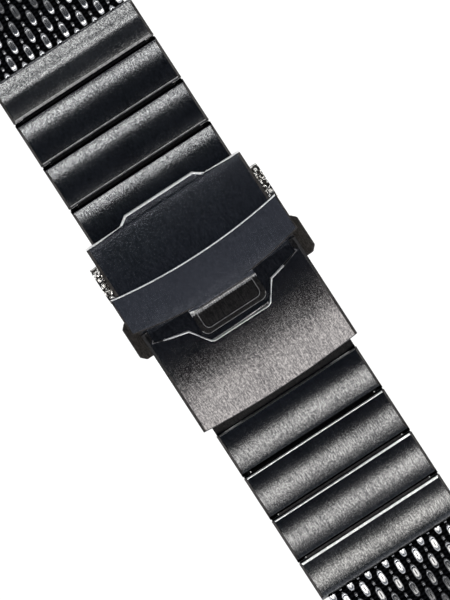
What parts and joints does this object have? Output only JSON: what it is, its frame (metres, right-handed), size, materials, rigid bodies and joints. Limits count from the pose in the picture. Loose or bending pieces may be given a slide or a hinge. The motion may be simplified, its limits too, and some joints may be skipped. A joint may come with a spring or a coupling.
{
  "type": "mesh watch band",
  "caption": "Metal watch band: woven wire mesh at both ends, solid hinged links beside a folding push-button clasp with a flip-over lock.",
  "frame": {"origin": "middle of the whole band, on the plane that the closed band lies on", "axes": "+X along the band towards the lower half and the cover's plain end, +Y across the band, +Z out of the wrist"},
  "size_m": [0.1738, 0.025, 0.0072],
  "materials": {
    "link_steel": "black coated steel, brushed along the band",
    "cover_steel": "black coated steel, brushed along the band",
    "lock_steel": "black coated steel, finely brushed",
    "button_steel": "black coated steel, satin",
    "blade_steel": "black coated steel, satin",
    "mesh_wire": "black coated wire, rolled flat on its crowns",
    "pin_steel": "bare ground steel",
    "spring_steel": "bare drawn wire"
  },
  "bodies": {
    "base": {"base_blade": "blade_steel", "catch_post": "pin_steel", "base_hinge_pin": "pin_steel"},
    "inner_blade": {"inner_blade": "blade_steel"},
    "cover": {"cover": "cover_steel", "cover_bar": "pin_steel", "cover_hinge_pin": "pin_steel", "flip_lock_rivets": "pin_steel", "spring_left": "spring_steel", "spring_right": "spring_steel"},
    "flip_lock": {"flip_lock": "lock_steel"},
    "button_left": {"button_left": "button_steel"},
    "button_right": {"button_right": "button_steel"},
    "upper_link_1": {"upper_link_1": "link_steel", "base_bar": "pin_steel"},
    "upper_link_2": {"upper_link_2": "link_steel", "upper_pin_1": "pin_steel"},
    "upper_link_3": {"upper_link_3": "link_steel", "upper_pin_2": "pin_steel"},
    "upper_end_link": {"upper_end_link": "link_steel", "upper_pin_3": "pin_steel", "upper_mesh_1": "mesh_wire"},
    "lower_link_1": {"lower_link_1": "link_steel", "lower_pin_1": "pin_steel"},
    "lower_link_2": {"lower_link_2": "link_steel", "lower_pin_2": "pin_steel"},
    "lower_link_3": {"lower_link_3": "link_steel", "lower_pin_3": "pin_steel"},
    "lower_end_link": {"lower_end_link": "link_steel", "lower_mesh_1": "mesh_wire"},
    "upper_mesh_2": {"upper_mesh_2": "mesh_wire"},
    "upper_mesh_3": {"upper_mesh_3": "mesh_wire"},
    "upper_mesh_4": {"upper_mesh_4": "mesh_wire"},
    "upper_mesh_5": {"upper_mesh_5": "mesh_wire"},
    "upper_mesh_6": {"upper_mesh_6": "mesh_wire"},
    "upper_mesh_7": {"upper_mesh_7": "mesh_wire", "upper_lug_tube": "link_steel"},
    "lower_mesh_2": {"lower_mesh_2": "mesh_wire"},
    "lower_mesh_3": {"lower_mesh_3": "mesh_wire"},
    "lower_mesh_4": {"lower_mesh_4": "mesh_wire"},
    "lower_mesh_5": {"lower_mesh_5": "mesh_wire"},
    "lower_mesh_6": {"lower_mesh_6": "mesh_wire"},
    "lower_mesh_7": {"lower_mesh_7": "mesh_wire", "lower_lug_tube": "link_steel"}
  },
  "joints": [
    {"name": "blade_fold", "type": "hinge", "parent": "base", "child": "inner_blade", "pos_m": [0.0077, 0, 0.00164], "axis": [0, 1, 0], "range_deg": [0, 165]},
    {"name": "cover_fold", "type": "hinge", "parent": "inner_blade", "child": "cover", "pos_m": [-0.0116, 0, 0.00269], "axis": [0, 1, 0], "range_deg": [-165, 0]},
    {"name": "flip_lock_hinge", "type": "hinge", "parent": "cover", "child": "flip_lock", "pos_m": [-0.0104, 0, 0.0038], "axis": [0, -1, 0], "range_deg": [0, 110]},
    {"name": "button_left_press", "type": "slide", "parent": "cover", "child": "button_left", "axis": [0, -1, 0], "range_m": [0, 0.0007], "stiffness_N_per_m": 1500, "springref_m": -0.0005, "deforming": ["spring_left"]},
    {"name": "button_right_press", "type": "slide", "parent": "cover", "child": "button_right", "axis": [0, 1, 0], "range_m": [0, 0.0007], "stiffness_N_per_m": 1500, "springref_m": -0.0005, "deforming": ["spring_right"]},
    {"name": "upper_link_hinge_1", "type": "hinge", "parent": "base", "child": "upper_link_1", "pos_m": [-0.0146, 0, 0.0013], "axis": [0, -1, 0], "range_deg": [-4, 25]},
    {"name": "upper_link_hinge_2", "type": "hinge", "parent": "upper_link_1", "child": "upper_link_2", "pos_m": [-0.0207, 0, 0.0013], "axis": [0, -1, 0], "range_deg": [-4, 25]},
    {"name": "upper_link_hinge_3", "type": "hinge", "parent": "upper_link_2", "child": "upper_link_3", "pos_m": [-0.0268, 0, 0.0013], "axis": [0, -1, 0], "range_deg": [-4, 25]},
    {"name": "upper_end_hinge", "type": "hinge", "parent": "upper_link_3", "child": "upper_end_link", "pos_m": [-0.0329, 0, 0.0013], "axis": [0, -1, 0], "range_deg": [-4, 25]},
    {"name": "lower_link_hinge_1", "type": "hinge", "parent": "cover", "child": "lower_link_1", "pos_m": [0.0105, 0, 0.0013], "axis": [0, 1, 0], "range_deg": [-4, 25]},
    {"name": "lower_link_hinge_2", "type": "hinge", "parent": "lower_link_1", "child": "lower_link_2", "pos_m": [0.01765, 0, 0.0013], "axis": [0, 1, 0], "range_deg": [-4, 25]},
    {"name": "lower_link_hinge_3", "type": "hinge", "parent": "lower_link_2", "child": "lower_link_3", "pos_m": [0.02375, 0, 0.0013], "axis": [0, 1, 0], "range_deg": [-4, 25]},
    {"name": "lower_end_hinge", "type": "hinge", "parent": "lower_link_3", "child": "lower_end_link", "pos_m": [0.02985, 0, 0.0013], "axis": [0, 1, 0], "range_deg": [-4, 25]},
    {"name": "upper_mesh_bend_1", "type": "hinge", "parent": "upper_end_link", "child": "upper_mesh_2", "pos_m": [-0.04378, 0, 0.0013], "axis": [0, -1, 0], "range_deg": [-8, 12]},
    {"name": "upper_mesh_bend_2", "type": "hinge", "parent": "upper_mesh_2", "child": "upper_mesh_3", "pos_m": [-0.05038, 0, 0.0013], "axis": [0, -1, 0], "range_deg": [-8, 12]},
    {"name": "upper_mesh_bend_3", "type": "hinge", "parent": "upper_mesh_3", "child": "upper_mesh_4", "pos_m": [-0.05697, 0, 0.0013], "axis": [0, -1, 0], "range_deg": [-8, 12]},
    {"name": "upper_mesh_bend_4", "type": "hinge", "parent": "upper_mesh_4", "child": "upper_mesh_5", "pos_m": [-0.06358, 0, 0.0013], "axis": [0, -1, 0], "range_deg": [-8, 12]},
    {"name": "upper_mesh_bend_5", "type": "hinge", "parent": "upper_mesh_5", "child": "upper_mesh_6", "pos_m": [-0.07018, 0, 0.0013], "axis": [0, -1, 0], "range_deg": [-8, 12]},
    {"name": "upper_mesh_bend_6", "type": "hinge", "parent": "upper_mesh_6", "child": "upper_mesh_7", "pos_m": [-0.07677, 0, 0.0013], "axis": [0, -1, 0], "range_deg": [-8, 12]},
    {"name": "lower_mesh_bend_1", "type": "hinge", "parent": "lower_end_link", "child": "lower_mesh_2", "pos_m": [0.04378, 0, 0.0013], "axis": [0, 1, 0], "range_deg": [-8, 12]},
    {"name": "lower_mesh_bend_2", "type": "hinge", "parent": "lower_mesh_2", "child": "lower_mesh_3", "pos_m": [0.05038, 0, 0.0013], "axis": [0, 1, 0], "range_deg": [-8, 12]},
    {"name": "lower_mesh_bend_3", "type": "hinge", "parent": "lower_mesh_3", "child": "lower_mesh_4", "pos_m": [0.05697, 0, 0.0013], "axis": [0, 1, 0], "range_deg": [-8, 12]},
    {"name": "lower_mesh_bend_4", "type": "hinge", "parent": "lower_mesh_4", "child": "lower_mesh_5", "pos_m": [0.06358, 0, 0.0013], "axis": [0, 1, 0], "range_deg": [-8, 12]},
    {"name": "lower_mesh_bend_5", "type": "hinge", "parent": "lower_mesh_5", "child": "lower_mesh_6", "pos_m": [0.07018, 0, 0.0013], "axis": [0, 1, 0], "range_deg": [-8, 12]},
    {"name": "lower_mesh_bend_6", "type": "hinge", "parent": "lower_mesh_6", "child": "lower_mesh_7", "pos_m": [0.07677, 0, 0.0013], "axis": [0, 1, 0], "range_deg": [-8, 12]}
  ],
  "couplings": [
    {"joint": "cover_fold", "follows": "blade_fold", "ratio": -1}
  ]
}
